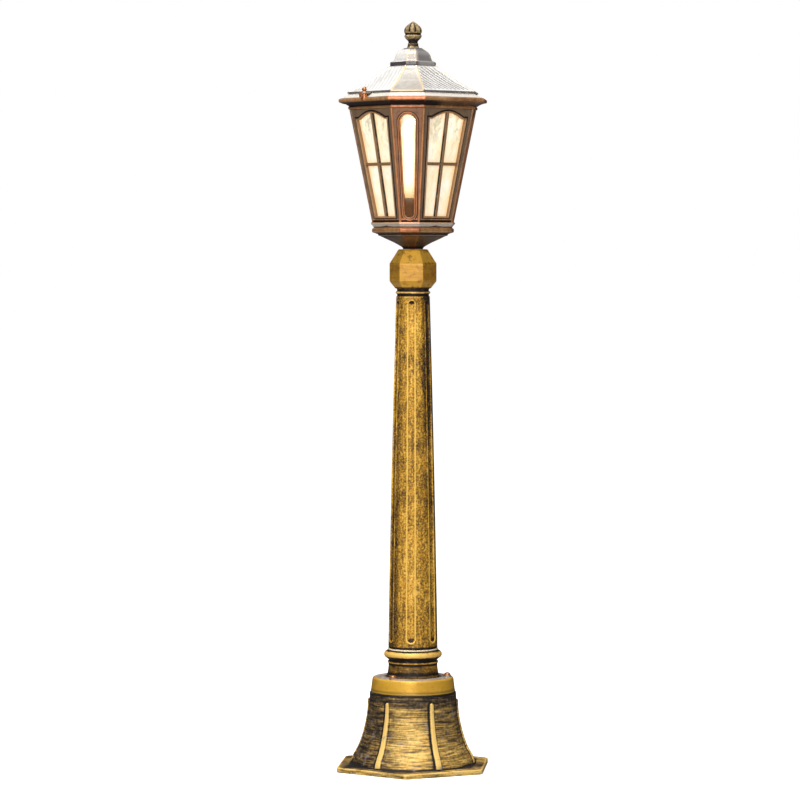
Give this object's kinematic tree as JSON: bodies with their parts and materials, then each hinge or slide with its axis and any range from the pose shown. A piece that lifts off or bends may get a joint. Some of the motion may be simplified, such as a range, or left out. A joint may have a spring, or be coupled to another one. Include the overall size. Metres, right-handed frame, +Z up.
{
  "type": "lantern post lamp",
  "caption": "Garden style post lantern: bell plinth on a hexagonal foot, fluted tapering column, eight-sided glazed lantern and a hinged two-tier roof with an acorn finial.",
  "frame": {"origin": "on the lamp's axis at the floor, under the centre of the hexagonal foot", "axes": "+Z up along the column, front (a narrow lantern face and a corner of the foot) towards -Y, +X to the right"},
  "size_m": [0.2338, 0.27, 1.2],
  "materials": {
    "antique_gold": "cast, painted black and dry-brushed with gold",
    "bright_gold": "cast, painted plain satin gold",
    "lantern_bronze": "cast, painted dark bronze with copper rubbed edges",
    "copper_fastener": "coppered, satin",
    "zinc_steel": "zinc plated",
    "brass": "bare",
    "window_glass": "seeded, lightly frosted",
    "bulb_glass": "frosted, lit",
    "filament": "lit phosphor sticks",
    "bakelite": "brown moulded",
    "porcelain": "white glazed",
    "lead_rubber": "matt black jacket",
    "gasket_rubber": "matt",
    "nylon": "natural"
  },
  "bodies": {
    "post": {"base_plinth": "antique_gold", "base_cap": "bright_gold", "cap_bolts": "copper_fastener", "cap_washers": "zinc_steel", "column_foot": "antique_gold", "column_shaft": "antique_gold", "neck_ring": "antique_gold", "capital": "bright_gold", "centre_tube": "zinc_steel", "tube_nut_lower": "brass", "tube_washer_lower": "zinc_steel", "tube_nut_upper": "brass", "tube_washer_upper": "zinc_steel", "terminal_block": "nylon", "terminal_screws": "brass", "block_screws": "zinc_steel", "earth_screw": "brass", "inner_lead": "lead_rubber", "lantern_bowl": "lantern_bronze", "lower_rail": "lantern_bronze", "rail_screws": "zinc_steel", "narrow_frames": "lantern_bronze", "wide_frames": "lantern_bronze", "narrow_glass": "window_glass", "wide_glass": "window_glass", "glass_clips": "zinc_steel", "clip_screws": "zinc_steel", "cornice": "lantern_bronze", "panel_dowels": "zinc_steel", "roof_gasket": "gasket_rubber", "latch_boss": "copper_fastener", "hinge_bracket": "lantern_bronze", "hinge_screws": "zinc_steel", "hinge_pin": "zinc_steel", "holder_cup": "bakelite", "holder_insert": "porcelain", "holder_skirt": "bakelite", "holder_shell": "brass", "holder_contact": "brass"},
    "roof": {"roof_lower": "lantern_bronze", "roof_upper": "lantern_bronze", "roof_screws": "zinc_steel", "finial": "antique_gold", "finial_stud": "zinc_steel", "finial_nut": "brass"},
    "latch_lifter": {"latch_washer": "nylon"},
    "latch_knob": {"latch_screw": "copper_fastener"},
    "bulb_lifter": {"bulb_tip": "zinc_steel"},
    "bulb": {"bulb_glass": "bulb_glass", "bulb_cap": "zinc_steel", "bulb_insulator": "porcelain", "bulb_stem": "window_glass", "bulb_filaments": "filament"}
  },
  "joints": [
    {"name": "roof_hinge", "type": "hinge", "parent": "post", "child": "roof", "pos_m": [0.07036, 0.07036, 1.0874], "axis": [-0.7071, 0.7071, 0], "range_deg": [0, 100]},
    {"name": "latch_lift", "type": "slide", "parent": "roof", "child": "latch_lifter", "axis": [0, 0, 1], "range_m": [0, 0.0049]},
    {"name": "latch_turn", "type": "hinge", "parent": "latch_lifter", "child": "latch_knob", "pos_m": [-0.07106, -0.07106, 1.085], "axis": [0, 0, 1], "range_deg": [0, 2520]},
    {"name": "bulb_lift", "type": "slide", "parent": "post", "child": "bulb_lifter", "axis": [0, 0, 1], "range_m": [0, 0.00996]},
    {"name": "bulb_turn", "type": "hinge", "parent": "bulb_lifter", "child": "bulb", "pos_m": [0, 0, 0.918], "axis": [0, 0, 1], "range_deg": [0, 990]}
  ],
  "couplings": [
    {"joint": "latch_turn", "follows": "latch_lift", "rad_per_m": 8976},
    {"joint": "bulb_turn", "follows": "bulb_lift", "rad_per_m": 1735.7}
  ]
}
